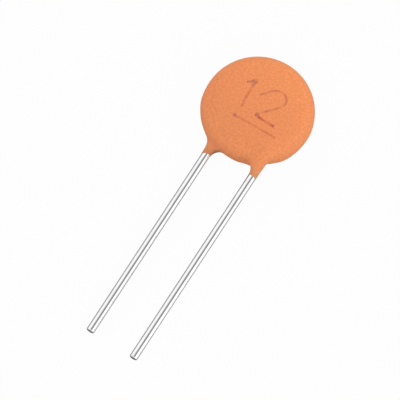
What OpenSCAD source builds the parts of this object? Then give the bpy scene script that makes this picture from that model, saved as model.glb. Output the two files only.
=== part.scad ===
// Single-layer ceramic disc capacitor with two radial leads, lying on its back.
//
// X runs across the leads, +Y points away from their tips and +Z points out of the marked face.
// The origin is at the centre of the rear face, on the surface that the part lies on.

/* [Ceramic disc] */
// Diameter of the ceramic disc
ceramic_d = 4.4; // [4.2:0.1:6]
// Thickness of the ceramic disc
ceramic_t = 0.25; // [0.2:0.05:1]
// Bare ceramic left around each electrode
electrode_margin = 0.1; // [0.05:0.05:0.3]
// Thickness of the fired silver
electrode_t = 0.02; // [0.01:0.01:0.05]

/* [Leads] */
// Diameter of the wire
lead_d = 0.4; // [0.3:0.05:0.6]
// Distance between the two leads, centre to centre
lead_pitch = 2.54; // [2.2:0.02:2.8]
// Middle of the pair of leads, to the right of the disc's centre
lead_shift = 0.27; // [-0.3:0.03:0.3]
// Bare length of the front lead below its skirt
front_lead_l = 10.55; // [4:0.05:30]
// Bare length of the rear lead below its skirt
rear_lead_l = 10.26; // [4:0.01:30]
// Height of the leads' soldered ends above the disc's centre
lead_top = 0.6; // [0.3:0.1:1.2]
// Straight lead held inside each skirt, below its bend
lead_grip = 0.1; // [0.05:0.05:0.2]
// Lean of the soldered stretches towards each other, above the bend
toe_in = 4; // [2:1:8]

/* [Solder] */
// Film between each lead and its electrode
solder_film = 0.015; // [0.01:0.005:0.05]
// Cover over the crest of the lead
solder_cover = 0.03; // [0.02:0.01:0.06]
// Fillet at each side of the lead
solder_side = 0.18; // [0.1:0.02:0.3]
// Length of each joint
solder_l = 2; // [1.2:0.1:2.4]

/* [Coating] */
// Coating around the ceramic's edge
coat_edge = 0.48; // [0.4:0.02:0.9]
// Coating over the crest of each lead
coat_over_lead = 0.29; // [0.2:0.01:0.4]
// Reach of the skirts below the rim
skirt_l = 0.28; // [0.2:0.02:0.6]
// Coating on the lead at the end of a skirt
skirt_wall = 0.03; // [0.02:0.01:0.08]
// Coating on the lead where its skirt ends inside the body
root_wall = 0.1; // [0.06:0.02:0.18]
// Length over which the resin below a lead slopes in to the middle of the rim
slope_l = 0.66; // [0.5:0.02:0.9]
// Radius of the fillets between the skirts and the rim, on the sides that face each other
inner_fillet_r = 0.25; // [0.15:0.05:0.3]
// Radius of the fillets on the outer sides
outer_fillet_r = 0.45; // [0.3:0.05:0.6]
// Thickness of the fillets, as a share of the lead's diameter
fillet_share = 0.7; // [0.5:0.05:0.8]
// How far the fillets' ends are sunk into the rim
fillet_sink = 0.04; // [0.03:0.01:0.06]

/* [Value mark] */
// Height of the digits
digit_h = 1.65; // [1:0.05:1.8]
// Baseline of the digits, above the disc's centre
digit_base = -0.5; // [-0.7:0.05:-0.3]
// Stem of the 1, to the left of the middle of the mark
stem_left = 0.9; // [0.8:0.05:1]
// Reach of the flag of the 1 to the left of its stem
flag_w = 0.42; // [0.2:0.02:0.5]
// Drop of that flag from the top of the stem
flag_drop = 0.46; // [0.2:0.02:0.6]
// Centre of the 2, to the right of the middle of the mark
two_right = 0.29; // [0.2:0.01:0.4]
// Radius of the bowl of the 2
bowl_r = 0.52; // [0.3:0.02:0.56]
// Reach of the tail of the 2 to the left of its bowl
tail_w = 0.22; // [0.1:0.02:0.3]
// Drop of that tail
tail_drop = 0.15; // [0.05:0.05:0.3]
// Start of the foot of the 2, to the left of its centre
foot_left = 0.35; // [0.2:0.05:0.5]
// Length of that foot
foot_l = 0.97; // [0.7:0.01:1]
// Space between the digits' baseline and the line under them
line_drop = 0.45; // [0.3:0.05:0.6]
// Start of that line, to the left of the middle of the mark
line_left = 1.03; // [0.8:0.01:1.1]
// Length of that line
line_l = 2.2; // [1.5:0.1:2.4]
// Width of the pen strokes
stroke_w = 0.13; // [0.08:0.01:0.2]
// Thickness of the ink
ink_t = 0.02; // [0.01:0.01:0.03]

/* [Hidden] */

$fn = 72;

// Heights above the middle plane, on either side of it
face_h = ceramic_t / 2 + electrode_t;
lead_r = lead_d / 2;
seat_h = face_h + solder_film + lead_r;
half_t = seat_h + lead_r + coat_over_lead;
electrode_d = ceramic_d - 2 * electrode_margin;

// Coated body: flat faces joined by a full-round rim
body_r = ceramic_d / 2 + coat_edge;
flat_r = body_r - half_t;

// Positions along the leads: the skirts' ends, the leads' bends and the cones' ends in the body
skirt_y = -body_r - skirt_l;
bend_y = skirt_y + lead_grip;
root_y = -body_r / 2;

// Solder
solder_r = lead_r + solder_side;
solder_h = seat_h + lead_r + solder_cover - solder_r;

// Coating around the leads
sleeve_r = lead_r + skirt_wall;
root_r = lead_r + root_wall;
slope_r = lead_r + skirt_wall / 2;
nose_r = fillet_share * lead_r;

// A tool's run past the surface that it cuts
past = 1;

function lead_x(side) = lead_shift + side * lead_pitch / 2;

// Places things drawn about the middle plane on the front (side = 1) or the rear (side = -1)
module on_side(side) {
    translate([0, 0, half_t]) mirror([0, 0, side > 0 ? 0 : 1]) children();
}

// Places things drawn about the bend in one lead
module at_bend(side) {
    on_side(side) translate([lead_x(side), bend_y, seat_h]) children();
}

module electrode(side) {
    on_side(side) translate([0, 0, ceramic_t / 2]) cylinder(d = electrode_d, h = electrode_t);
}

// One wire: straight below its bend, and sheared towards the other lead above it
module lead(side, bare_l) {
    lean = [[1, -side * tan(toe_in), 0, 0], [0, 1, 0, 0], [0, 0, 1, 0], [0, 0, 0, 1]];
    at_bend(side) {
        rotate([90, 0, 0]) cylinder(r = lead_r, h = lead_grip + bare_l);
        multmatrix(lean) rotate([-90, 0, 0]) cylinder(r = lead_r, h = lead_top - bend_y);
    }
}

// A bar with round ends, along Y, centred on the origin
module capsule(r, l) {
    rotate([90, 0, 0]) rotate_extrude() intersection() {
        union() {
            for (end = [-1, 1]) translate([0, end * (l / 2 - r)]) circle(r = r);
            translate([-r, r - l / 2]) square([2 * r, l - 2 * r]);
        }
        translate([0, -l / 2]) square([r, l]);
    }
}

// A mound around the end of one lead, which wets only the electrode
module solder_mound(side) {
    intersection() {
        at_bend(side) rotate([0, 0, side * toe_in])
            translate([0, -bend_y / cos(toe_in), solder_h - seat_h]) capsule(solder_r, solder_l);
        on_side(side) translate([0, 0, face_h]) cylinder(d = electrode_d, h = half_t);
    }
}

module solder(side) {
    difference() {
        solder_mound(side);
        lead(side, 0);
    }
}

// A fillet on the middle plane, between the rim and the right (way = 1) or left side of a skirt
module skirt_fillet(side, way) {
    r = side == way ? outer_fillet_r : inner_fillet_r;
    cx = lead_x(side) + way * (lead_r + r);
    cy = -sqrt(pow(body_r - fillet_sink + r, 2) - cx * cx);
    to_centre = atan2(-cy, -cx);
    translate([cx, cy, 0]) rotate([0, 0, way > 0 ? to_centre : 0])
        rotate_extrude(angle = way > 0 ? 180 - to_centre : to_centre) translate([r + nose_r, 0]) {
            circle(r = nose_r);
            translate([0, -nose_r]) square([nose_r, 2 * nose_r]);
        }
}

// The resin that runs down one lead: a cone around the lead, and a bar with fillets at its sides
// that slopes in from the lead to the middle of the rim
module skirt(side) {
    fall = seat_h / slope_l;
    slope = [[1, 0, 0, 0], [0, 1, 0, 0], [0, -fall, 1, seat_h + fall * bend_y], [0, 0, 0, 1]];
    on_side(side) {
        translate([lead_x(side), skirt_y, seat_h]) rotate([-90, 0, 0])
            cylinder(r1 = sleeve_r, r2 = root_r, h = root_y - skirt_y);
        multmatrix(slope) {
            translate([lead_x(side), bend_y, 0]) rotate([-90, 0, 0])
                cylinder(r = slope_r, h = 2 * slope_l);
            for (way = [-1, 1]) skirt_fillet(side, way);
        }
    }
}

module ceramic_disc() {
    color("tan") translate([0, 0, half_t - ceramic_t / 2]) cylinder(d = ceramic_d, h = ceramic_t);
}

module front_electrode() {
    color("gainsboro") electrode(1);
}

module rear_electrode() {
    color("gainsboro") electrode(-1);
}

module front_lead() {
    color("silver") lead(1, front_lead_l);
}

module rear_lead() {
    color("silver") lead(-1, rear_lead_l);
}

module front_solder() {
    color("darkgray") solder(1);
}

module rear_solder() {
    color("darkgray") solder(-1);
}

// One dipped shell around everything but the bare leads
module coating() {
    color("sandybrown") difference() {
        union() {
            translate([0, 0, half_t]) rotate_extrude() {
                translate([0, -half_t]) square([flat_r, 2 * half_t]);
                intersection() {
                    translate([flat_r, 0]) circle(r = half_t);
                    translate([flat_r, -half_t]) square([half_t, 2 * half_t]);
                }
            }
            for (side = [-1, 1]) skirt(side);
        }
        ceramic_disc();
        for (side = [-1, 1]) {
            electrode(side);
            solder_mound(side);
            lead(side, past);
        }
    }
}

// A pen stroke with round ends, through the points in order
module stroke(points) {
    for (i = [0 : len(points) - 2]) {
        run = points[i + 1] - points[i];
        translate(points[i]) rotate(atan2(run.y, run.x))
            translate([0, -stroke_w / 2]) square([norm(run), stroke_w]);
    }
    for (p = points) translate(p) circle(d = stroke_w);
}

// The bowl of the 2: the upper half of a ring
module bowl() {
    difference() {
        circle(r = bowl_r + stroke_w / 2);
        circle(r = bowl_r - stroke_w / 2);
        translate([-digit_h, -digit_h]) square([2 * digit_h, digit_h]);
    }
}

// Plain digits over a line, centred between the leads and kept to the flat face
module value_mark() {
    top = digit_h - stroke_w / 2;
    stem_x = -stem_left;
    bowl_y = top - bowl_r;
    foot_x = two_right - foot_left;
    color("saddlebrown") translate([0, 0, 2 * half_t]) linear_extrude(ink_t) intersection() {
        circle(r = flat_r);
        translate([lead_shift, digit_base]) {
            stroke([[stem_x - flag_w, top - flag_drop], [stem_x, top], [stem_x, 0]]);
            translate([two_right, bowl_y]) {
                bowl();
                stroke([[-bowl_r - tail_w, -tail_drop], [-bowl_r, 0]]);
            }
            stroke([[two_right + bowl_r, bowl_y], [foot_x, 0], [foot_x + foot_l, 0]]);
            stroke([[-line_left, -line_drop], [line_l - line_left, -line_drop]]);
        }
    }
}

ceramic_disc();
front_electrode();
rear_electrode();
front_lead();
rear_lead();
front_solder();
rear_solder();
coating();
value_mark();
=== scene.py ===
# %% [markdown]
# # A dipped ceramic disc capacitor
#
# Two tinned wires are soldered to the silvered faces of a small ceramic disc. The disc is then
# dipped in an orange resin, which runs a little way down each wire, and the value is written on it.
#
# The solids of the part come first. They fix every size and place in this scene, and each piece
# that is made below is fitted to them.

# %% Open the frame
import math
import bmesh
import bpy
import numpy as np
from mathutils import Matrix, Vector, noise


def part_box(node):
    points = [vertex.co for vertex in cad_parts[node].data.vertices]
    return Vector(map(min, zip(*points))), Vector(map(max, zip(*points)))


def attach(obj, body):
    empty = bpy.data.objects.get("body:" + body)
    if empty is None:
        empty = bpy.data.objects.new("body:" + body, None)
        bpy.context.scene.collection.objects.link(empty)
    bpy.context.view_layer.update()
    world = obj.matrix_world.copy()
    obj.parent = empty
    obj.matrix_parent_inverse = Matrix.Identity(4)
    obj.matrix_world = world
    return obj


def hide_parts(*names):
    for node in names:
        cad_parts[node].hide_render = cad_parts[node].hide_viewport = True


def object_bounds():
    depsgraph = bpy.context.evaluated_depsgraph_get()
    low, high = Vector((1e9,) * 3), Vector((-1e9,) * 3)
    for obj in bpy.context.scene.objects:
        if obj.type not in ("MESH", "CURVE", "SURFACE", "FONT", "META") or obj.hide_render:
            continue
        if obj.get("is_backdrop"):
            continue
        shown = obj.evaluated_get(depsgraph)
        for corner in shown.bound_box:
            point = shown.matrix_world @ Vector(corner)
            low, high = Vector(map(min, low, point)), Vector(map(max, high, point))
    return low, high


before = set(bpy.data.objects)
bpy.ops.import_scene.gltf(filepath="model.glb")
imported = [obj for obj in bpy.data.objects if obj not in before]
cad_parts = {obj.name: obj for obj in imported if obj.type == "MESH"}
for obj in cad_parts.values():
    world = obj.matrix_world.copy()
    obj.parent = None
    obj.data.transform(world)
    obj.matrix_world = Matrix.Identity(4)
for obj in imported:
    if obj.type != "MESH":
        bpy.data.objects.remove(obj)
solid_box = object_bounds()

print("solids:", sorted(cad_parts))

# %% [markdown]
# ## Sizes
#
# Nothing is measured twice. The wires' radius and places, the rim of the body and the ends of the
# skirts are read from the boxes of the solids. This scene is made in millimetres, because the part
# is small, and each finished mesh is brought to metres at the end.

# %% Read the sizes from the solids
MM = 0.001


def box_mm(name):
    low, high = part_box(name)
    return Vector(low) / MM, Vector(high) / MM


coat_low, coat_high = box_mm("coating")
RIM_R = coat_high.y
HALF_T = coat_high.z / 2
SKIRT_END = coat_low.y

front_low, front_high = box_mm("front_lead")
rear_low, rear_high = box_mm("rear_lead")
WIRE_R = (front_high.z - front_low.z) / 2
FRONT_X = front_high.x - WIRE_R
REAR_X = rear_low.x + WIRE_R
FRONT_Z = (front_low.z + front_high.z) / 2
REAR_Z = (rear_low.z + rear_high.z) / 2
print(f"rim radius {RIM_R:.3f}, half thickness {HALF_T:.3f}, wire radius {WIRE_R:.3f}")
print(f"wires at x {FRONT_X:.3f} and {REAR_X:.3f}, {FRONT_X - REAR_X:.3f} apart")

# %% [markdown]
# ## Camera
#
# The camera looks down steeply, from a little to the right of the wires. The part is tiny and seen
# from far away, so the view is a parallel projection, in which the two wires stay parallel.

# %% Set up the camera
VIEW_TURN = math.radians(31.8)
VIEW_LIFT = math.radians(70.7)
DISTANCE = 300.0
FRAME_WIDTH = 18.65
AIM_LEFT, AIM_DOWN = 2.690, 4.112

right = Vector((math.cos(VIEW_TURN), math.sin(VIEW_TURN), 0))
back = Vector((math.sin(VIEW_TURN) * math.cos(VIEW_LIFT),
               -math.cos(VIEW_TURN) * math.cos(VIEW_LIFT), math.sin(VIEW_LIFT)))
up = back.cross(right)
target = Vector((0, 0, HALF_T)) - AIM_LEFT * right - AIM_DOWN * up


def add_object(name, data):
    made = bpy.data.objects.new(name, data)
    bpy.context.scene.collection.objects.link(made)
    return made


lens = bpy.data.cameras.new("camera")
lens.type = "ORTHO"
lens.ortho_scale = FRAME_WIDTH * MM
lens.clip_start = 0.01
lens.clip_end = 10
camera = add_object("camera", lens)
turned = Matrix((right, up, back)).transposed().to_4x4()
camera.matrix_world = Matrix.Translation((target + DISTANCE * back) * MM) @ turned
bpy.context.scene.camera = camera
print(f"the frame is {FRAME_WIDTH} mm wide")

# %% [markdown]
# ## Helpers for node trees
#
# A geometry tree needs named inputs for its sizes, and a material needs nodes that are joined in
# order. These short helpers keep the trees below readable.

# %% Write the helpers for node trees
def new_node(tree, kind, **settings):
    made = tree.nodes.new(kind)
    for name, value in settings.items():
        setattr(made, name, value)
    return made


def join(tree, source, target_socket):
    tree.links.new(source, target_socket)


def geometry_tree(name, inputs):
    """A tree that takes and gives geometry, with one more input for each (name, kind)."""
    tree = bpy.data.node_groups.new(name, "GeometryNodeTree")
    tree.interface.new_socket("Geometry", in_out="INPUT", socket_type="NodeSocketGeometry")
    for label, kind in inputs:
        tree.interface.new_socket(label, in_out="INPUT", socket_type="NodeSocket" + kind)
    tree.interface.new_socket("Geometry", in_out="OUTPUT", socket_type="NodeSocketGeometry")
    return tree, new_node(tree, "NodeGroupInput"), new_node(tree, "NodeGroupOutput")


def math_node(tree, operation, *values):
    made = new_node(tree, "ShaderNodeMath", operation=operation)
    for socket, value in zip(made.inputs, values):
        if isinstance(value, (int, float)):
            socket.default_value = value
        else:
            join(tree, value, socket)
    return made.outputs[0]


def add_up(tree, terms, start=0):
    """The start plus each value times its weight."""
    total = start
    for value, weight in terms:
        total = math_node(tree, "ADD", total, math_node(tree, "MULTIPLY", value, weight))
    return total


def grow(name, host_mesh, tree, values):
    """Runs a geometry tree on a host mesh and returns the result as a plain mesh object."""
    host = add_object(name + "_host", host_mesh)
    modifier = host.modifiers.new("grow", "NODES")
    modifier.node_group = tree
    for item in tree.interface.items_tree:
        if item.in_out == "INPUT" and item.name in values:
            modifier[item.identifier] = values[item.name]
    evaluated = host.evaluated_get(bpy.context.evaluated_depsgraph_get())
    mesh = bpy.data.meshes.new_from_object(evaluated)
    host.modifiers.clear()
    bpy.data.objects.remove(host)
    mesh.name = name
    return add_object(name, mesh)


def line_mesh(name, lines):
    """A mesh of bare edges, one chain for each list of points."""
    points, edges = [], []
    for line in lines:
        start = len(points)
        points += line
        edges += [(start + i, start + i + 1) for i in range(len(line) - 1)]
    mesh = bpy.data.meshes.new(name)
    mesh.from_pydata(points, edges, [])
    return mesh


def to_metres(made):
    made.data.transform(Matrix.Scale(MM, 4))
    print(f"{made.name}: {len(made.data.polygons)} faces")


print("helpers for trees and meshes are ready")

# %% [markdown]
# ## Finish of the wires
#
# The wires are copper-clad steel with a bright coat of tin. Drawing the wire through its die leaves
# very fine lines along it, and the tin itself is a little cloudy. The shader is a metal with low
# roughness. Noise that is stretched along the wire gives the lines, and a broader noise moves the
# brightness and the roughness. Tin darkens where it is seen edge-on, which the tint of the specular
# edge gives. The left flank of each wire is painted darker, as a painted reflection of shaded
# floor.

# %% Make the tinned finish
def object_noise(tree, stretch, scale, detail=2.0, roughness=0.5):
    """Noise in the piece's own space, where the scale counts features per millimetre."""
    place = new_node(tree, "ShaderNodeTexCoord")
    mapping = new_node(tree, "ShaderNodeMapping")
    mapping.inputs["Scale"].default_value = [s / MM for s in stretch]
    join(tree, place.outputs["Object"], mapping.inputs["Vector"])
    made = new_node(tree, "ShaderNodeTexNoise")
    made.inputs["Scale"].default_value = scale
    made.inputs["Detail"].default_value = detail
    made.inputs["Roughness"].default_value = roughness
    join(tree, mapping.outputs["Vector"], made.inputs["Vector"])
    return made.outputs["Fac"]


def spread(tree, value, low, high, at_low, at_high):
    """Moves a value from one range to another."""
    made = new_node(tree, "ShaderNodeMapRange")
    made.inputs["From Min"].default_value = low
    made.inputs["From Max"].default_value = high
    made.inputs["To Min"].default_value = at_low
    made.inputs["To Max"].default_value = at_high
    join(tree, value, made.inputs["Value"])
    return made.outputs["Result"]


def blend_colours(tree, share, first, second):
    made = new_node(tree, "ShaderNodeMix", data_type="RGBA")
    join(tree, share, made.inputs["Factor"])
    for socket, value in ((made.inputs[6], first), (made.inputs[7], second)):
        if isinstance(value, tuple):
            socket.default_value = (*value, 1)
        else:
            join(tree, value, socket)
    return made.outputs[2]


def tinted(tree, colour, tint):
    made = new_node(tree, "ShaderNodeMix", data_type="RGBA", blend_type="MULTIPLY")
    made.inputs["Factor"].default_value = 1
    join(tree, colour, made.inputs[6])
    join(tree, tint, made.inputs[7])
    return made.outputs[2]


def grey(level):
    return level, level, level


def attribute(tree, name):
    return new_node(tree, "ShaderNodeAttribute", attribute_name=name).outputs["Fac"]


def bumps(tree, height, depth_mm, strength=1.0):
    made = new_node(tree, "ShaderNodeBump")
    made.inputs["Strength"].default_value = strength
    made.inputs["Distance"].default_value = depth_mm * MM
    join(tree, height, made.inputs["Height"])
    return made.outputs["Normal"]


def new_finish(name):
    finish = bpy.data.materials.new(name)
    finish.use_nodes = True
    return finish, finish.node_tree, finish.node_tree.nodes["Principled BSDF"]


# The last grey is a painted dark reflection on the left flank of each wire; the next line gives how
# far the flank faces -X where it begins and where it is full
CLOUDY_TIN, BRIGHT_TIN, EDGE_TIN, DARK_REFLECTION_TIN = 0.76, 0.81, 0.02, 0.74
DARK_REFLECTION_FROM, DARK_REFLECTION_TO = -0.60, -0.88

tinned, tree, shader = new_finish("tinned_wire")
drawn_lines = object_noise(tree, (1, 0.02, 1), 40)
cloud = object_noise(tree, (1, 0.4, 1), 3)
shader.inputs["Metallic"].default_value = 1
shader.inputs["Specular Tint"].default_value = (*grey(EDGE_TIN), 1)
bright = blend_colours(tree, spread(tree, cloud, 0.35, 0.65, 0, 1),
                       grey(CLOUDY_TIN), grey(BRIGHT_TIN))
# The attribute is how far the surface looks to +X, so the flank with the painted dark reflection is
# the one on the left
turned_left = spread(tree, attribute(tree, "sideways"), DARK_REFLECTION_FROM, DARK_REFLECTION_TO, 0, 1)
painted_dark_reflection = blend_colours(tree, turned_left, grey(1), grey(DARK_REFLECTION_TIN))
join(tree, tinted(tree, bright, painted_dark_reflection), shader.inputs["Base Color"])
join(tree, spread(tree, cloud, 0.35, 0.65, 0.10, 0.16), shader.inputs["Roughness"])
join(tree, bumps(tree, drawn_lines, 0.001), shader.inputs["Normal"])
print("finish:", tinned.name)

# %% [markdown]
# ## The wires
#
# Each wire is straight below its bend and leans towards the other one inside the resin. A sweep
# fits it: a circle is carried along a centre line, and the line's own radius makes the edge of the
# cut end round. Both wires take the same geometry tree with another centre line. The steps that a
# pen stroke will need as well are helpers of their own.

# %% Write the steps of a sweep
def pick_mode(node, menu_item, older_name):
    """Sets a node's mode, which some versions keep as an input and others as a setting."""
    if "Mode" in node.inputs:
        node.inputs["Mode"].default_value = menu_item
    else:
        node.mode = older_name


def rounded_ends(tree, reach, middle=1):
    """A share that drops over the last reach before either end, as a quarter of a circle."""
    along = new_node(tree, "GeometryNodeSplineParameter")
    whole = new_node(tree, "GeometryNodeSplineLength")
    beyond = math_node(tree, "SUBTRACT", whole.outputs["Length"], along.outputs["Length"])
    to_end = math_node(tree, "MINIMUM", along.outputs["Length"], beyond)
    short = math_node(tree, "SUBTRACT", 1, math_node(tree, "DIVIDE", to_end, reach))
    short = math_node(tree, "MAXIMUM", short, 0)
    square = math_node(tree, "MULTIPLY", short, short)
    return math_node(tree, "SQRT", math_node(tree, "SUBTRACT", middle, square))


def swept(tree, curve, radius, sides):
    """A ring carried along the curve, as wide at each point as the radius there."""
    sized = new_node(tree, "GeometryNodeSetCurveRadius")
    join(tree, curve, sized.inputs["Curve"])
    join(tree, radius, sized.inputs["Radius"])
    ring = new_node(tree, "GeometryNodeCurvePrimitiveCircle")
    ring.inputs["Radius"].default_value = 1
    join(tree, sides, ring.inputs["Resolution"])
    sweep = new_node(tree, "GeometryNodeCurveToMesh")
    sweep.inputs["Fill Caps"].default_value = True
    join(tree, sized.outputs["Curve"], sweep.inputs["Curve"])
    join(tree, ring.outputs["Curve"], sweep.inputs["Profile Curve"])
    if "Scale" in sweep.inputs:
        own_radius = new_node(tree, "GeometryNodeInputRadius")
        join(tree, own_radius.outputs[0], sweep.inputs["Scale"])
    return sweep.outputs["Mesh"]


def end_tree(tree, made, finish, result):
    """Closes a tree: what was made becomes real geometry and takes its finish."""
    real = new_node(tree, "GeometryNodeRealizeInstances")
    join(tree, made, real.inputs["Geometry"])
    dress = new_node(tree, "GeometryNodeSetMaterial")
    join(tree, real.outputs["Geometry"], dress.inputs["Geometry"])
    join(tree, finish, dress.inputs["Material"])
    join(tree, dress.outputs["Geometry"], result.inputs["Geometry"])


print("helpers for sweeps are ready")

# %% Build the tree that draws a wire
BEND_POINTS = 12
WELD_WITHIN = 1e-4


def wire_tree():
    tree, given, result = geometry_tree("drawn_wire", [
        ("Radius", "Float"), ("Edge", "Float"), ("Bend radius", "Float"),
        ("Sides", "Int"), ("Finish", "Material")])
    line = new_node(tree, "GeometryNodeMeshToCurve")
    join(tree, given.outputs["Geometry"], line.inputs["Mesh"])
    bend = new_node(tree, "GeometryNodeFilletCurve")
    pick_mode(bend, "Poly", "POLY")
    bend.inputs["Count"].default_value = BEND_POINTS
    join(tree, line.outputs["Curve"], bend.inputs["Curve"])
    join(tree, given.outputs["Bend radius"], bend.inputs["Radius"])

    # The radius drops by the edge's own size at each cut end
    arc = rounded_ends(tree, given.outputs["Edge"])
    cut_back = math_node(tree, "MULTIPLY", given.outputs["Edge"],
                         math_node(tree, "SUBTRACT", 1, arc))
    radius = math_node(tree, "SUBTRACT", given.outputs["Radius"], cut_back)
    wire = swept(tree, bend.outputs["Curve"], radius, given.outputs["Sides"])
    # The bend node doubles the points of a straight run, so the rings there are welded
    weld = new_node(tree, "GeometryNodeMergeByDistance")
    weld.inputs["Distance"].default_value = WELD_WITHIN
    join(tree, wire, weld.inputs["Geometry"])
    end_tree(tree, weld.outputs["Geometry"], given.outputs["Finish"], result)
    return tree


WIRE_TREE = wire_tree()
print("wire tree:", len(WIRE_TREE.nodes), "nodes")

# %% Draw both wires
CUT_EDGE = 0.04
EDGE_ANGLES = (0, 18, 36, 54, 72, 90)
STRAIGHT_STEPS = 24
BEND_DROP = 0.10
BEND_RADIUS = 0.6
TOE_IN = math.radians(4)
WIRE_SIDES = 64
WIRE_CREASE = math.radians(50)


def wire_line(x, z, tip, top, lean):
    """The points of one centre line, closest together at the cut end, which stays crisp."""
    bend_y = SKIRT_END + BEND_DROP
    steps = [CUT_EDGE * (1 - math.cos(math.radians(a))) for a in EDGE_ANGLES]
    points = [(x, tip + step, z) for step in steps]
    first = points[-1][1]
    points += [(x, first + (bend_y - first) * i / STRAIGHT_STEPS, z)
               for i in range(1, STRAIGHT_STEPS + 1)]
    points += [(x - lean * (y - bend_y), y, z) for y in (top - CUT_EDGE, top)]
    return points


def draw_wire(name, x, z, low, high, way):
    lines = line_mesh(name, [wire_line(x, z, low.y, high.y, way * math.tan(TOE_IN))])
    made = grow(name, lines, WIRE_TREE, {
        "Radius": WIRE_R, "Edge": CUT_EDGE, "Bend radius": BEND_RADIUS, "Sides": WIRE_SIDES,
        "Finish": tinned})
    made.data.shade_smooth()
    made.data.set_sharp_from_angle(angle=WIRE_CREASE)
    sideways = made.data.attributes.new("sideways", "FLOAT", "POINT")
    sideways.data.foreach_set("value", [v.normal.x for v in made.data.vertices])
    return made


front_wire = draw_wire("front_wire", FRONT_X, FRONT_Z, front_low, front_high, 1)
rear_wire = draw_wire("rear_wire", REAR_X, REAR_Z, rear_low, rear_high, -1)
for wire in (front_wire, rear_wire):
    to_metres(wire)

# %% [markdown]
# ## Finish of the resin
#
# Dipping resin is filled with fine mineral powder, so it is matt, slightly grainy and a little
# uneven in colour. It could be one flat orange, but then the disc would look like moulded plastic.
# Here a broad noise shifts the hue, two finer ones give the grain, and the finest also raises the
# surface by a few micrometres.
#
# The coat's colour also changes from place to place. It is duller on its side walls, which is
# painted shade, and paler on the skirts, where it is thin. Painted light makes it brighter towards
# the far right and darker towards the near left, and painted shade makes it brown in the crook of
# the rear skirt.
# Each of these is a tint that the orange is multiplied by.

# %% Make the resin finish
BROAD_ORANGES = (0.825, 0.276, 0.109), (0.870, 0.288, 0.103)
GRAIN_ORANGES = (0.690, 0.215, 0.078), (0.985, 0.355, 0.144)
# Painted shade: this tint darkens the steep side walls
WALL_SHADE_TINT = (0.86, 0.88, 0.91)
SKIRT_TINT, SKIRT_FROM, SKIRT_TO = (0.84, 1.03, 1.14), -2.54, -2.80
# Painted light and shade: darker towards the near left, brighter towards the far right, along the
# way on the next line
SHADED_SIDE_TINT, LIT_SIDE_TINT = (0.89, 0.885, 0.92), (1.03, 1.035, 1.00)
LIGHT_WAY, LIGHT_REACH = (0.38, 0.92), 2.6
# Painted shade in the crook of the rear skirt: its tint, its place, and the distances where it is
# full and where it is gone
CROOK_SHADE_TINT, CROOK_SHADE_PLACE = (0.46, 0.48, 0.48), (-0.69, -2.60, 0.42)
CROOK_SHADE_CORE, CROOK_SHADE_RIM = 0.12, 0.38
MATT_GLOSS = 0.12


def noise_share(tree, value, at_low=0, at_high=1):
    """Noise keeps mostly between 0.3 and 0.7, so that stretch is spread over the wanted range."""
    return spread(tree, value, 0.3, 0.7, at_low, at_high)


resin, tree, shader = new_finish("orange_resin")
patches = object_noise(tree, (1, 1, 1), 0.9, detail=2)
grain = object_noise(tree, (1, 1, 1), 10, detail=3, roughness=0.7)
specks = object_noise(tree, (1, 1, 1), 19, detail=2, roughness=0.6)
broad = blend_colours(tree, noise_share(tree, patches), *BROAD_ORANGES)
fine = blend_colours(tree, noise_share(tree, grain), *GRAIN_ORANGES)
grained = blend_colours(tree, noise_share(tree, specks, 0.3, 1.0), broad, fine)

place = new_node(tree, "ShaderNodeTexCoord")
parts = new_node(tree, "ShaderNodeSeparateXYZ")
join(tree, place.outputs["Object"], parts.inputs[0])
# Painted shade grows where the wall turns steep
shaded_wall = spread(tree, attribute(tree, "steepness"), 0.15, 1.0, 0, 1)
on_skirt = spread(tree, parts.outputs["Y"], SKIRT_FROM * MM, SKIRT_TO * MM, 0, 1)
# How far a point lies towards the far right, where the painted light is brightest
towards_light = add_up(tree, ((parts.outputs["X"], LIGHT_WAY[0]), (parts.outputs["Y"], LIGHT_WAY[1])))
lit_side_share = spread(tree, towards_light, -LIGHT_REACH * MM, LIGHT_REACH * MM, 0, 1)
# Painted shade, darkest at the crook of the rear skirt
crook_shade_gap = new_node(tree, "ShaderNodeVectorMath", operation="DISTANCE")
join(tree, place.outputs["Object"], crook_shade_gap.inputs[0])
crook_shade_gap.inputs[1].default_value = [part * MM for part in CROOK_SHADE_PLACE]
outside_crook_shade = spread(tree, crook_shade_gap.outputs["Value"], CROOK_SHADE_CORE * MM, CROOK_SHADE_RIM * MM, 0, 1)

toned = grained
# Tints for painted shade on the walls, the thin skirts, painted light across the coat, and painted
# shade in the crook
for share, first, second in (
        (shaded_wall, grey(1), WALL_SHADE_TINT), (on_skirt, grey(1), SKIRT_TINT),
        (lit_side_share, SHADED_SIDE_TINT, LIT_SIDE_TINT), (outside_crook_shade, CROOK_SHADE_TINT, grey(1))):
    toned = tinted(tree, toned, blend_colours(tree, share, first, second))
join(tree, toned, shader.inputs["Base Color"])
join(tree, noise_share(tree, grain, 0.6, 0.72), shader.inputs["Roughness"])
join(tree, bumps(tree, specks, 0.006, 0.8), shader.inputs["Normal"])
shader.inputs["Specular IOR Level"].default_value = MATT_GLOSS
print("finish:", resin.name)

# %% [markdown]
# ## The shape of the dipped coat
#
# The coat is a drop that froze: a lozenge with soft faces, which runs out along the wires, with
# hollows where surface tension pulled the resin in. Such a shape is hard to build from patches, but
# easy to say as a distance. One function gives the distance to the lozenge, one the distance to
# each sleeve of resin, and a smooth minimum melts them together. The coat is the surface on which
# the blended distance is zero.

# %% Say the lozenge as a distance
FACE_POWER = 10.0
BACK_POWER = 12.0
RIM_POWER = 1.7
LEAST_SLOPE = 0.5
# The rim keeps this far inside RIM_R, because the solid's own mesh reaches less far on the left
RIM_EASE = 0.006
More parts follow.
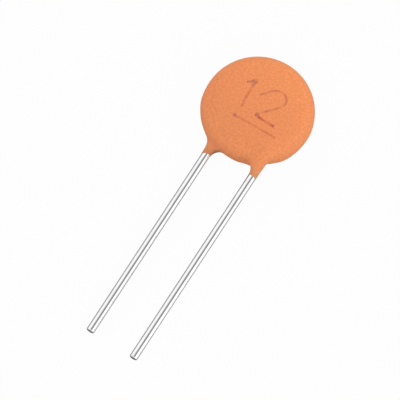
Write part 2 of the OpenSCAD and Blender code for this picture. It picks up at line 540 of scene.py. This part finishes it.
# Where the rim is pulled in: how deep in mm, around which direction, and how wide in degrees.
# In the last two places it stands a little proud instead
PULLED_IN = [(0.100, -90, 18), (0.065, -72, 7), (0.015, -129, 7), (0.030, -101, 4),
             (0.088, -44, 9), (0.140, -52, 4), (0.010, -22, 16), (-0.026, -160, 10), (-0.014, 9, 8)]


def rim_radius(angle):
    """The radius of the dip in each direction."""
    radius = RIM_R - RIM_EASE
    for depth, centre, width in PULLED_IN:
        away = (angle - centre + 180) % 360 - 180
        radius = radius - depth * np.exp(-(away / width) ** 2)
    return radius


def lozenge(p):
    """Roughly the distance to the body: a level that is 0 on its surface, over its slope."""
    x, y, z = p[:, 0], p[:, 1], p[:, 2] - HALF_T
    rim = rim_radius(np.degrees(np.arctan2(y, x)))
    out, high = np.hypot(x, y) / rim, np.abs(z) / HALF_T
    power = BACK_POWER + (FACE_POWER - BACK_POWER) * np.clip(0.5 + z / HALF_T, 0, 1)
    level = out ** power + high ** RIM_POWER - 1
    slope = np.hypot(power * out ** (power - 1) / rim, RIM_POWER * high ** (RIM_POWER - 1) / HALF_T)
    return level / np.maximum(slope, LEAST_SLOPE)


print("rim radius by direction:", [round(float(rim_radius(a)), 3) for a in (-135, -90, -45, 0, 90)])

# %% Say each sleeve of resin as a distance
SLEEVE_WALL = 0.010
SLEEVE_FLARE = 0.06
FLARE_LENGTH, FLARE_STOP = 0.40, 1.5
SLEEVE_ROOT = -1.55
OVERRUN = 0.25
MELT_WIDTH = 0.33
FACE_MELT = 0.01


def sleeve(p, x, z, inwards):
    """A tube around one wire that widens towards the body, all of it on the inner side."""
    up_skirt = np.clip((p[:, 1] - SKIRT_END) / FLARE_LENGTH, 0, FLARE_STOP)
    flare = SLEEVE_FLARE * up_skirt ** 2
    across = np.hypot(p[:, 0] - x - inwards * flare, p[:, 2] - z) - (WIRE_R + SLEEVE_WALL + flare)
    return np.maximum(across, np.maximum(p[:, 1] - SLEEVE_ROOT, SKIRT_END - OVERRUN - p[:, 1]))


def melt(a, b, width):
    """A smooth minimum: the two surfaces run into each other over this width."""
    share = np.clip(0.5 + 0.5 * (b - a) / width, 0, 1)
    return b + (a - b) * share - width * share * (1 - share)


def coat_distance(p):
    skirts = np.minimum(sleeve(p, FRONT_X, FRONT_Z, -1), sleeve(p, REAR_X, REAR_Z, 1))
    melted = melt(lozenge(p), skirts, MELT_WIDTH)
    # The faces stay between the floor and the top of the body
    beyond = np.maximum(-p[:, 2], p[:, 2] - 2 * HALF_T)
    return -melt(-melted, -beyond, FACE_MELT)


print(f"resin on the wires is {SLEEVE_WALL} mm thick at the end of a skirt")

# %% [markdown]
# To make a mesh of it, the distance is read on a grid of small cells. Each cell that the surface
# passes through gets one point, and neighbouring points are joined into four-sided faces. The
# points are then evened out and moved along the slope of the distance on to the surface, a few
# times over. No pole or seam shows, because the faces are the same size all over.

# %% Cast the coat
CELL = 0.045
ROUNDS = 6


def netted(distance, low, high, size):
    """Points and four-sided faces, one point for each cell that the surface passes through."""
    axes = [np.arange(a, b, size) for a, b in zip(low, high)]
    grid = np.stack(np.meshgrid(*axes, indexing="ij"), -1)
    inside = distance(grid.reshape(-1, 3)).reshape(grid.shape[:3]) < 0
    step = np.eye(3, dtype=int)
    quads = []
    for axis in range(3):
        beside, above = step[(axis + 1) % 3], step[(axis + 2) % 3]
        ahead = np.roll(inside, -1, axis)
        for way, crossed in ((1, inside & ~ahead), (-1, ahead & ~inside)):
            starts = np.argwhere(crossed)
            ring = [starts - beside - above, starts - above, starts, starts - beside][::way]
            quads.append(np.stack(ring, 1))
    cells, faces = np.unique(np.concatenate(quads).reshape(-1, 3), axis=0, return_inverse=True)
    return np.array(low) + (cells + 0.5) * size, faces.reshape(-1, 4)


def evened(points, faces):
    """Moves each point half way to the middle of its neighbours."""
    start, end = faces.ravel(), np.roll(faces, -1, 1).ravel()
    count = np.bincount(start)[:, None]
    middle = np.stack([np.bincount(start, points[end, i]) for i in range(3)], 1) / count
    return (points + middle) / 2


def pull_on(points, distance, steps=4):
    """Moves each point along the slope of the distance until the distance is zero."""
    small, least_slope = 1e-4, 0.05
    for _ in range(steps):
        here = distance(points)
        slope = np.stack([
            (distance(points + small * axis) - distance(points - small * axis)) / (2 * small)
            for axis in np.eye(3)], axis=1)
        move = (here / np.maximum((slope ** 2).sum(1), least_slope))[:, None] * slope
        length = np.linalg.norm(move, axis=1, keepdims=True)
        points = points - move * np.minimum(1, CELL / np.maximum(length, 1e-9))
    return points


def points_of(mesh):
    flat = np.empty(len(mesh.vertices) * 3)
    mesh.vertices.foreach_get("co", flat)
    return flat.reshape(-1, 3)


room = 3 * CELL
points, faces = netted(
    coat_distance, (-RIM_R - room, SKIRT_END - OVERRUN - room, -room),
    (RIM_R + room, RIM_R + room, 2 * HALF_T + room), CELL)
for _ in range(ROUNDS):
    points = pull_on(evened(points, faces), coat_distance)
error = np.abs(coat_distance(points)[points[:, 1] > SKIRT_END]).max()
print(f"coat: {len(faces)} faces, largest error {error:.5f} mm")

# %% [markdown]
# The resin ends on each wire in a thin edge that isn't quite level. The mesh runs on past the end
# and is cut off there, on a slant of its own for each wire. Small random steps then make the edge a
# little ragged, and a face closes it.

# %% Trim the skirts
RAGGED, RAGGED_SCALE, RAGGED_ROW = 0.025, 9, 4
FRONT_LOWER, FRONT_SLANT, REAR_SLANT = 0.035, -0.125, 0.25
COAT_CREASE = math.radians(60)
# How far aside of the wire, and how far above the end of the skirt, a face may lie and be cut
CUT_ASIDE, CUT_ABOVE = 1.0, 0.3
ON_PLANE = 1e-5


def trim_skirt(bm, x, end, slant):
    """Cuts one skirt. The slant is how far its end moves along the wire for each mm across."""
    near = [f for f in bm.faces
            if all(abs(v.co.x - x) < CUT_ASIDE and v.co.y < SKIRT_END + CUT_ABOVE
                   for v in f.verts)]
    # A dict keeps each part once and in order, where a set would shuffle them from run to run
    around = dict.fromkeys(part for f in near for part in (*f.verts, *f.edges))
    cut = bmesh.ops.bisect_plane(
        bm, geom=near + list(around), dist=ON_PLANE, clear_outer=True,
        plane_co=(x, end, 0), plane_no=Vector((slant, -1, 0)).normalized())
    rim = [part for part in cut["geom_cut"] if isinstance(part, bmesh.types.BMEdge)]
    for v in dict.fromkeys(v for edge in rim for v in edge.verts):
        spot = Vector((v.co.x * RAGGED_SCALE, RAGGED_ROW, v.co.z * RAGGED_SCALE))
        v.co.y += RAGGED * noise.noise(spot)
    bmesh.ops.holes_fill(bm, edges=rim, sides=0)


# The faces are added one by one, which puts the edges in the same order on every machine
bm = bmesh.new()
corners = [bm.verts.new(point) for point in points.tolist()]
for face in faces.tolist():
    bm.faces.new([corners[i] for i in face])
trim_skirt(bm, FRONT_X, SKIRT_END - FRONT_LOWER, FRONT_SLANT)
trim_skirt(bm, REAR_X, SKIRT_END, REAR_SLANT)
print("open edges left:", sum(edge.is_boundary for edge in bm.edges))
coat_mesh = bpy.data.meshes.new("resin_coat")
bm.to_mesh(coat_mesh)
bm.free()
coat_mesh.shade_smooth()
coat_mesh.set_sharp_from_angle(angle=COAT_CREASE)
# The steepness carries the painted shade on the resin's side walls
steepness = coat_mesh.attributes.new("steepness", "FLOAT", "POINT")
steepness.data.foreach_set("value", [1 - abs(v.normal.z) for v in coat_mesh.vertices])
resin_coat = add_object("resin_coat", coat_mesh)
coat_mesh.materials.append(resin)
print(f"skirts end at y {points_of(coat_mesh)[:, 1].min():.3f}")

# %% [markdown]
# ## Finish of the ink
#
# The value is written by a fine pen in a thin, dark red-brown ink. Where the pen lands or turns, it
# leaves more ink, which dries dark and purplish, and along a quick stroke the ink is thin and lets
# the orange through. The amount of ink is kept in the mesh as an attribute, and the colour follows
# that attribute.

# %% Make the ink finish
BARE_ORANGE = (0.845, 0.284, 0.106)
PURPLE_INK, RED_INK = (0.395, 0.130, 0.090), (0.475, 0.080, 0.055)

ink, tree, shader = new_finish("marking_ink")
speckle = object_noise(tree, (1, 1, 1), 11, detail=2, roughness=0.6)
cover = math_node(tree, "MULTIPLY", attribute(tree, "ink_load"),
                  noise_share(tree, speckle, 0.55, 1.1))
dried = blend_colours(tree, attribute(tree, "ink_red"), PURPLE_INK, RED_INK)
join(tree, blend_colours(tree, cover, BARE_ORANGE, dried), shader.inputs["Base Color"])
shader.inputs["Roughness"].default_value = 0.6
shader.inputs["Specular IOR Level"].default_value = MATT_GLOSS
join(tree, bumps(tree, speckle, 0.002, 0.6), shader.inputs["Normal"])
print("finish:", ink.name)

# %% [markdown]
# ## The written value
#
# The figures are pen strokes, not type. Each is a centre line with a width and an amount of ink at
# every point. A geometry tree sweeps a flat oval along it, rounds its ends, makes its width waver,
# and lays it on the coat, so that it follows the soft face. The line under the figures is a stroke
# as well.

# %% Write the strokes
# Each point is (x, y, width, load, red): the pen's place and width, how much ink, and how red
STROKES = [
    [(-1.05, 0.74, 0.12, 1.0, 0.2), (-0.96, 0.81, 0.10, 0.65, 0.2), (-0.87, 0.87, 0.13, 0.75, 0.1),
     (-0.77, 0.95, 0.19, 0.85, 0), (-0.71, 1.07, 0.16, 0.30, 0.3), (-0.70, 0.98, 0.19, 0.65, 0),
     (-0.71, 0.84, 0.14, 0.8, 0), (-0.70, 0.60, 0.12, 0.4, 0.2), (-0.69, 0.20, 0.11, 0.55, 1),
     (-0.68, -0.10, 0.11, 0.5, 0.5), (-0.65, -0.28, 0.11, 0.52, 0.6),
     (-0.62, -0.44, 0.10, 0.6, 0.4)],
    [(-0.20, 0.52, 0.11, 0.7, 0), (-0.05, 0.68, 0.10, 0.6, 0.2), (0.04, 0.79, 0.10, 0.5, 0),
     (0.14, 0.91, 0.11, 0.6, 0), (0.26, 1.02, 0.10, 0.55, 0), (0.38, 1.09, 0.10, 0.65, 0.6),
     (0.52, 1.15, 0.10, 0.45, 1), (0.67, 1.15, 0.10, 0.22, 0.2), (0.83, 1.10, 0.11, 0.68, 0.8),
     (0.96, 1.00, 0.11, 0.62, 0.2), (1.03, 0.87, 0.11, 0.55, 0), (1.06, 0.72, 0.11, 0.62, 0.4),
     (1.01, 0.58, 0.10, 0.2, 0), (0.93, 0.47, 0.10, 0.45, 0.2), (0.83, 0.34, 0.11, 0.6, 0.5),
     (0.70, 0.19, 0.10, 0.4, 0.4), (0.57, 0.06, 0.10, 0.65, 0.2), (0.43, -0.09, 0.10, 0.6, 1),
     (0.32, -0.22, 0.08, 0.2, 0.6), (0.25, -0.32, 0.13, 0.55, 0.3), (0.19, -0.39, 0.20, 1.0, 0.1),
     (0.27, -0.43, 0.15, 0.9, 0.4), (0.42, -0.46, 0.13, 1.0, 1), (0.62, -0.47, 0.12, 0.68, 1),
     (0.86, -0.48, 0.14, 0.48, 1), (1.03, -0.48, 0.14, 0.75, 1), (1.20, -0.49, 0.13, 1.0, 0.9)],
    [(-0.77, -0.95, 0.15, 1.0, 0.3), (-0.65, -0.95, 0.15, 0.9, 0.1), (-0.53, -0.95, 0.11, 0.6, 0.1),
     (-0.38, -0.95, 0.10, 0.52, 0.8), (-0.22, -0.95, 0.10, 0.48, 1), (0.10, -0.93, 0.09, 0.48, 1),
     (0.60, -0.93, 0.08, 0.38, 1), (1.00, -0.92, 0.09, 0.72, 1), (1.25, -0.92, 0.10, 0.58, 1),
     (1.54, -0.92, 0.09, 0.5, 0.9)],
]


def smooth_line(points, steps=8):
    """A Catmull-Rom curve through the points, which rounds the turns of the pen."""
    p = [points[0]] + points + [points[-1]]
    line = []
    for a, b, c, d in zip(p, p[1:], p[2:], p[3:]):
        for i in range(steps):
            t = i / steps
            line.append(tuple(
                0.5 * (2 * q + (r - o) * t + (2 * o - 5 * q + 4 * r - s) * t ** 2
                       + (3 * q - o - 3 * r + s) * t ** 3)
                for o, q, r, s in zip(a, b, c, d)))
    return line + [points[-1]]


lines = [smooth_line(s) for s in STROKES]
stroke_mesh = line_mesh("strokes", [[(x, y, 0) for x, y, *_ in line] for line in lines])
for label, column in (("pen_width", 2), ("ink_load", 3), ("ink_red", 4)):
    kept = stroke_mesh.attributes.new(label, "FLOAT", "POINT")
    kept.data.foreach_set("value", [point[column] for line in lines for point in line])
print("strokes:", len(lines), "points:", len(stroke_mesh.vertices))

# %% Build the tree that lays ink on the coat
STROKE_STEP = 0.03
STROKE_SIDES = 14
OVAL_FLATNESS = 0.12
WAVER, WAVER_SCALE = 0.5, 7
DROP_FROM = 3.0
END_FULLNESS = 1.02


def ink_tree():
    tree, given, result = geometry_tree("pen_strokes", [
        ("Coat", "Object"), ("Step", "Float"), ("Flatness", "Float"), ("Waver", "Float"),
        ("Height", "Float"), ("Sides", "Int"), ("Finish", "Material")])
    line = new_node(tree, "GeometryNodeMeshToCurve")
    join(tree, given.outputs["Geometry"], line.inputs["Mesh"])
    even = new_node(tree, "GeometryNodeResampleCurve")
    pick_mode(even, "Length", "LENGTH")
    join(tree, line.outputs["Curve"], even.inputs["Curve"])
    join(tree, given.outputs["Step"], even.inputs["Length"])
    flat = new_node(tree, "GeometryNodeSetCurveNormal")
    pick_mode(flat, "Z Up", "Z_UP")
    join(tree, even.outputs["Curve"], flat.inputs["Curve"])

    # Half the pen's width, with round ends and a slight waver
    width = new_node(tree, "GeometryNodeInputNamedAttribute", data_type="FLOAT")
    width.inputs["Name"].default_value = "pen_width"
    half = math_node(tree, "MULTIPLY", width.outputs[0], 0.5)
    arc = rounded_ends(tree, half, END_FULLNESS)
    place = new_node(tree, "GeometryNodeInputPosition")
    waver = new_node(tree, "ShaderNodeTexNoise")
    waver.inputs["Scale"].default_value = WAVER_SCALE
    join(tree, place.outputs[0], waver.inputs["Vector"])
    swing = math_node(tree, "MULTIPLY", math_node(
        tree, "SUBTRACT", waver.outputs["Fac"], 0.5), given.outputs["Waver"])
    radius = math_node(tree, "MULTIPLY", math_node(tree, "MULTIPLY", half, arc),
                       math_node(tree, "ADD", swing, 1))
    stroke = swept(tree, flat.outputs["Curve"], radius, given.outputs["Sides"])

    # Each point keeps its x and y, and its height above the line is squeezed and set on the coat
    parts = new_node(tree, "ShaderNodeSeparateXYZ")
    join(tree, place.outputs[0], parts.inputs[0])
    above = new_node(tree, "ShaderNodeCombineXYZ")
    join(tree, parts.outputs["X"], above.inputs["X"])
    join(tree, parts.outputs["Y"], above.inputs["Y"])
    join(tree, given.outputs["Height"], above.inputs["Z"])
    coat = new_node(tree, "GeometryNodeObjectInfo")
    join(tree, given.outputs["Coat"], coat.inputs["Object"])
    ray = new_node(tree, "GeometryNodeRaycast")
    join(tree, coat.outputs["Geometry"], ray.inputs["Target Geometry"])
    join(tree, above.outputs[0], ray.inputs["Source Position"])
    ray.inputs["Ray Direction"].default_value = (0, 0, -1)
    ray.inputs["Ray Length"].default_value = 10
    hit = new_node(tree, "ShaderNodeSeparateXYZ")
    join(tree, ray.outputs["Hit Position"], hit.inputs[0])
    lift = math_node(tree, "MULTIPLY", parts.outputs["Z"], given.outputs["Flatness"])
    final = new_node(tree, "ShaderNodeCombineXYZ")
    join(tree, parts.outputs["X"], final.inputs["X"])
    join(tree, parts.outputs["Y"], final.inputs["Y"])
    join(tree, math_node(tree, "ADD", hit.outputs["Z"], lift), final.inputs["Z"])
    lay = new_node(tree, "GeometryNodeSetPosition")
    join(tree, stroke, lay.inputs["Geometry"])
    join(tree, final.outputs[0], lay.inputs["Position"])
    end_tree(tree, lay.outputs["Geometry"], given.outputs["Finish"], result)
    return tree


ink_mark = grow("ink_mark", stroke_mesh, ink_tree(), {
    "Coat": resin_coat, "Step": STROKE_STEP, "Flatness": OVAL_FLATNESS, "Waver": WAVER,
    "Height": DROP_FROM, "Sides": STROKE_SIDES, "Finish": ink})
ink_mark.data.shade_smooth()
ink_points = points_of(ink_mark.data)
print("ink from", ink_points.min(0).round(3), "to", ink_points.max(0).round(3))

# %% Bring the coat and the ink to metres
for made in (resin_coat, ink_mark):
    to_metres(made)

# %% [markdown]
# ## Finishes inside the coat
#
# The ceramic, its silver and the solder are sealed in, but they are real pieces, and a cut through
# the part shows them. Fired ceramic is pale and finely speckled, fired silver is a matt grey-white,
# and solder is a soft, slightly cloudy metal.

# %% Dress the inner solids
def inner_finish(name, first, second, scale, metal, rough, depth):
    finish, tree, shader = new_finish(name)
    cloud = object_noise(tree, (1, 1, 1), scale, detail=4, roughness=0.6)
    join(tree, blend_colours(tree, noise_share(tree, cloud), first, second),
         shader.inputs["Base Color"])
    join(tree, noise_share(tree, cloud, rough - 0.06, rough + 0.06), shader.inputs["Roughness"])
    shader.inputs["Metallic"].default_value = metal
    join(tree, bumps(tree, cloud, depth, 0.6), shader.inputs["Normal"])
    return finish


fired_ceramic = inner_finish("fired_ceramic", (0.52, 0.40, 0.26), (0.62, 0.50, 0.35),
                             scale=12, metal=0, rough=0.7, depth=0.003)
fired_silver = inner_finish("fired_silver", (0.72, 0.71, 0.68), (0.82, 0.81, 0.78),
                            scale=16, metal=1, rough=0.48, depth=0.002)
soft_solder = inner_finish("soft_solder", (0.50, 0.50, 0.51), (0.64, 0.64, 0.65),
                           scale=6, metal=1, rough=0.34, depth=0.004)
INNER = {
    "ceramic_disc": fired_ceramic, "front_electrode": fired_silver, "rear_electrode": fired_silver,
    "front_solder": soft_solder, "rear_solder": soft_solder}
for name, finish in INNER.items():
    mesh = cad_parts[name].data
    mesh.materials.clear()
    mesh.materials.append(finish)
print("inner solids dressed:", len(INNER))

# %% [markdown]
# ## Put the pieces in the frame
#
# Each piece that was made here stands for one solid, which is then hidden, and rides on the same
# body. The slot that is listed with each piece is not used.

# %% Place the pieces
for made, node, slot in (
        (front_wire, "front_lead", "tinned_wire"), (rear_wire, "rear_lead", "tinned_wire"),
        (resin_coat, "coating", "resin"), (ink_mark, "value_mark", "ink")):
    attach(made, "root")
    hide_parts(node)
    print(made.name, "stands for", node)

# %% [markdown]
# ## Floor
#
# The part lies on a pale, plain floor. Its own diffuse grey takes the soft shadow. Seen straight
# from the camera, most of it is lifted to plain white, as on a lit table, and in a reflection a
# little of it is.

# %% Lay the floor
# The floor is the one piece that is made in metres
FLOOR_HALF = 0.6
FLOOR_GREY = 0.64
LIFTED_SEEN, LIFTED_MIRRORED = 0.963, 0.20

floor_mesh = bpy.data.meshes.new("floor")
floor_mesh.from_pydata(
    [(-FLOOR_HALF, -FLOOR_HALF, 0), (FLOOR_HALF, -FLOOR_HALF, 0),
     (FLOOR_HALF, FLOOR_HALF, 0), (-FLOOR_HALF, FLOOR_HALF, 0)], [], [(0, 1, 2, 3)])
floor = add_object("floor", floor_mesh)
pale, tree, shader = new_finish("pale_floor")
shader.inputs["Base Color"].default_value = (*grey(FLOOR_GREY), 1)
shader.inputs["Roughness"].default_value = 0.35
rays = new_node(tree, "ShaderNodeLightPath")
reflected = math_node(tree, "MAXIMUM", rays.outputs["Is Glossy Ray"],
                      rays.outputs["Is Transmission Ray"])
share = math_node(
    tree, "MAXIMUM", math_node(tree, "MULTIPLY", rays.outputs["Is Camera Ray"], LIFTED_SEEN),
    math_node(tree, "MULTIPLY", reflected, LIFTED_MIRRORED))
glow = new_node(tree, "ShaderNodeEmission")
glow.inputs["Strength"].default_value = 1.0
lifted = new_node(tree, "ShaderNodeMixShader")
join(tree, share, lifted.inputs["Fac"])
join(tree, shader.outputs["BSDF"], lifted.inputs[1])
join(tree, glow.outputs["Emission"], lifted.inputs[2])
join(tree, lifted.outputs["Shader"], tree.nodes["Material Output"].inputs["Surface"])
floor_mesh.materials.append(pale)
floor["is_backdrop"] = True
print("floor laid")

# %% [markdown]
# ## Light
#
# Shiny wire shows the room that it stands in. A light tent, bright all round with a dark opening
# above for the camera, gives the wires their two white flanks and the dark line between them. The
# tent is the world itself, so the light on the coat is even and casts hardly a shadow. One large
# soft lamp from the top right adds a little direction.

# %% Set up the tent
# Strengths, where 1 is plain white: in the opening, on the side walls, and past the wires' tips
IN_OPENING, ON_SIDES, PAST_TIPS = 0.32, 1.50, 1.10
# The opening's half width where its edge begins and where the wall is full, and its lean
EDGE_FROM, EDGE_TO, OPENING_LEAN = math.radians(12), math.radians(43), math.radians(6)
# The duller strip: where it lies along Y, how far it reaches and fades, and how much it takes
STRIP_Y, STRIP_FULL, STRIP_GONE, STRIP_LOSS = 0.28, 0.15, 0.35, 0.50
# Where the directions past the tips, to the left and near the floor begin and are full
TIPS_FULL, TIPS_GONE = -0.50, -0.10
LEFT_FROM, LEFT_FULL = -0.6, -0.9
LOW_FULL, LOW_GONE = 0.06, 0.30
# The slow change over the whole tent
PLAIN, LESS_ABOVE, MORE_RIGHT, LESS_BEHIND = 1.170, 0.29, 0.32, 0.10

world = bpy.data.worlds.new("light_tent")
bpy.context.scene.world = world
world.use_nodes = True
tree = world.node_tree
sky = tree.nodes["Background"]
place = new_node(tree, "ShaderNodeTexCoord")
apart = new_node(tree, "ShaderNodeSeparateXYZ")
join(tree, place.outputs["Generated"], apart.inputs[0])
x, y, z = (apart.outputs[axis] for axis in "XYZ")
# The opening runs along the wires from above the coat to behind it, and leans to the camera's side
lean = math.atan2(back.x, back.z) + OPENING_LEAN
across = add_up(tree, ((x, math.cos(lean)), (z, -math.sin(lean))))
height = add_up(tree, ((x, math.sin(lean)), (z, math.cos(lean))))
angle = math_node(tree, "ABSOLUTE", math_node(tree, "ARCTAN2", across, height))
wall = spread(tree, angle, EDGE_FROM, EDGE_TO, IN_OPENING, ON_SIDES)
past_tips = spread(tree, y, TIPS_FULL, TIPS_GONE, PAST_TIPS, IN_OPENING)
wall = math_node(tree, "MAXIMUM", wall, past_tips)
# A strip on the left that the wires mirror is duller near the floor
strip = spread(tree, math_node(tree, "ABSOLUTE", math_node(tree, "SUBTRACT", y, STRIP_Y)),
               STRIP_FULL, STRIP_GONE, 1, 0)
strip = math_node(tree, "MULTIPLY", strip, spread(tree, x, LEFT_FROM, LEFT_FULL, 0, 1))
shade = math_node(tree, "MULTIPLY", strip, spread(tree, z, LOW_FULL, LOW_GONE, STRIP_LOSS, 0))
wall = math_node(tree, "MULTIPLY", wall, math_node(tree, "SUBTRACT", 1, shade))
# The light is stronger from the right, and a little weaker from above and from behind
rightwards = add_up(tree, ((x, right.x), (y, right.y)))
slow = add_up(tree, ((z, -LESS_ABOVE), (rightwards, MORE_RIGHT), (y, -LESS_BEHIND)), start=PLAIN)
wall = math_node(tree, "MULTIPLY", wall, slow)
join(tree, wall, sky.inputs["Strength"])
sky.inputs["Color"].default_value = (*grey(1), 1)
print("tent set, with", len(tree.nodes), "nodes")

# %% Hang the lamp
LAMP_WIDTH, LAMP_WATTS = 0.30, 0.03
LAMP_PLACE = Vector((0.10, 0.30, 0.25))

softbox = bpy.data.lights.new("softbox", "AREA")
softbox.shape = "DISK"
softbox.size = LAMP_WIDTH
softbox.energy = LAMP_WATTS
lamp = add_object("softbox", softbox)
aimed = LAMP_PLACE.to_track_quat("Z", "Y").to_matrix().to_4x4()
lamp.matrix_world = Matrix.Translation(LAMP_PLACE) @ aimed
lamp.visible_camera = False
bpy.context.scene.view_settings.view_transform = "Standard"
print(f"lamp hung {LAMP_PLACE.length:.2f} m away")

# %% [markdown]
# ## Print the sizes and close
#
# Both boxes, of the solids and of the dressed part, are printed side by side. The dressed
# part has to fill the same box as the solids.

dressed_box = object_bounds()
for solid, dressed in zip(solid_box, dressed_box):
    print("solids", [round(c / MM, 3) for c in solid],
          "dressed", [round(c / MM, 3) for c in dressed])
